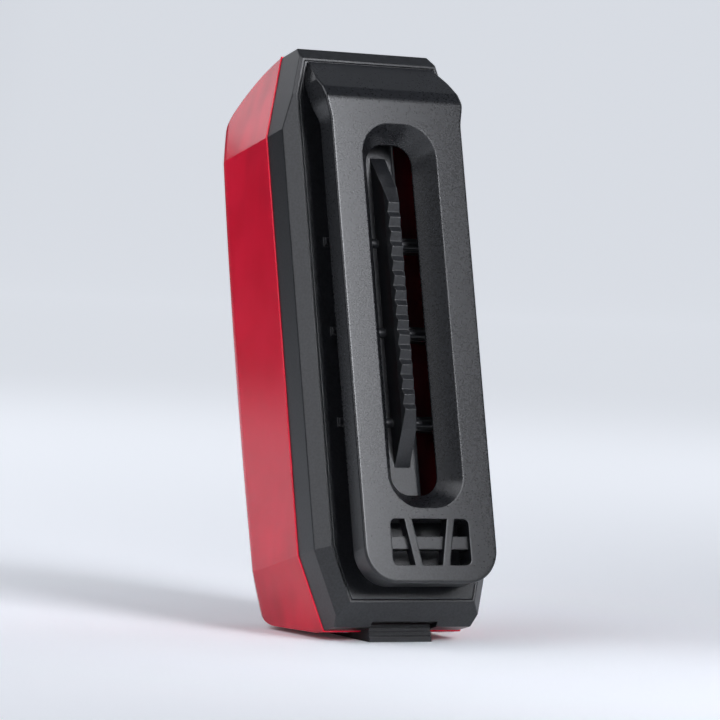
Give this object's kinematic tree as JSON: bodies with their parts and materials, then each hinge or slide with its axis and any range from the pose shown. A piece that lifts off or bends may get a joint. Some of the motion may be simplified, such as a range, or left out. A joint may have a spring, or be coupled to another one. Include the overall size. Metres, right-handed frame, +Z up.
{
  "type": "bike rear light",
  "caption": "Rechargeable bike rear light with a red lens, black back housing, ribbed back frame, springing belt clip, power button and rubber port cover.",
  "frame": {"origin": "middle of the rubber foot's flat underside, the face that the light stands on", "axes": "+Z up, the lens faces -Y and leans forward by the foot's slope, the clip is on the +Y side, X runs across the light"},
  "size_m": [0.03, 0.0538, 0.0886],
  "materials": {
    "red_lens": "clear red polycarbonate, polished",
    "black_housing": "fine satin moulded",
    "black_frame": "satin moulded",
    "black_clip": "fine matte moulded",
    "red_cover": "red polycarbonate, semi-clear",
    "black_rubber": "matte silicone rubber",
    "screw_steel": "zinc plated",
    "battery_foil": "heat-sealed foil",
    "grey_foam": "closed-cell foam",
    "white_nylon": "natural nylon",
    "red_wire": "PVC insulation",
    "black_wire": "PVC insulation",
    "grey_chassis": "moulded ABS",
    "green_board": "solder mask on glass-epoxy",
    "chip_black": "moulded epoxy",
    "spacer_brass": "turned, nickel-free",
    "white_board": "white solder mask",
    "led_ceramic": "ceramic carrier",
    "clear_silicone": "clear silicone",
    "bright_reflector": "moulded, vacuum metallised",
    "frosted_diffuser": "frosted acrylic",
    "clear_guide": "clear acrylic",
    "socket_steel": "drawn and plated",
    "switch_grey": "moulded nylon"
  },
  "bodies": {
    "housing": {"lens": "red_lens", "rear_housing": "black_housing", "back_frame": "black_frame", "inner_cover": "red_cover", "body_gasket": "black_rubber", "cover_screws": "screw_steel", "chassis_screws": "screw_steel", "board_screws": "screw_steel", "battery": "battery_foil", "battery_pad": "grey_foam", "battery_plug": "white_nylon", "battery_lead_red": "red_wire", "battery_lead_black": "black_wire", "chassis": "grey_chassis", "main_board": "green_board", "board_chips": "chip_black", "board_header": "white_nylon", "board_spacers": "spacer_brass", "led_board": "white_board", "leds": "led_ceramic", "led_domes": "clear_silicone", "reflector": "bright_reflector", "diffuser": "frosted_diffuser", "side_guide_right": "clear_guide", "side_guide_left": "clear_guide", "usb_socket": "socket_steel", "socket_tongue": "chip_black", "cover_anchor": "black_rubber", "button_seal": "black_rubber", "tact_switch": "switch_grey"},
    "clip": {"belt_clip": "black_clip"},
    "socket_cover": {"port_cover": "black_rubber"},
    "button": {"power_button": "black_rubber", "button_plunger": "grey_chassis"}
  },
  "joints": [
    {"name": "clip_flex", "type": "hinge", "parent": "housing", "child": "clip", "pos_m": [0, -0.00642, 0.08497], "axis": [1, 0, 0], "range_deg": [0, 6], "stiffness_Nm_per_rad": 2},
    {"name": "cover_swing", "type": "hinge", "parent": "housing", "child": "socket_cover", "pos_m": [0, -0.00715, 0.00052], "axis": [-1, 0, 0], "range_deg": [0, 100], "stiffness_Nm_per_rad": 0.002, "springref_deg": -17.19},
    {"name": "button_press", "type": "slide", "parent": "housing", "child": "button", "axis": [0, 0.2549, -0.967], "range_m": [0, 0.0005], "stiffness_N_per_m": 400}
  ]
}
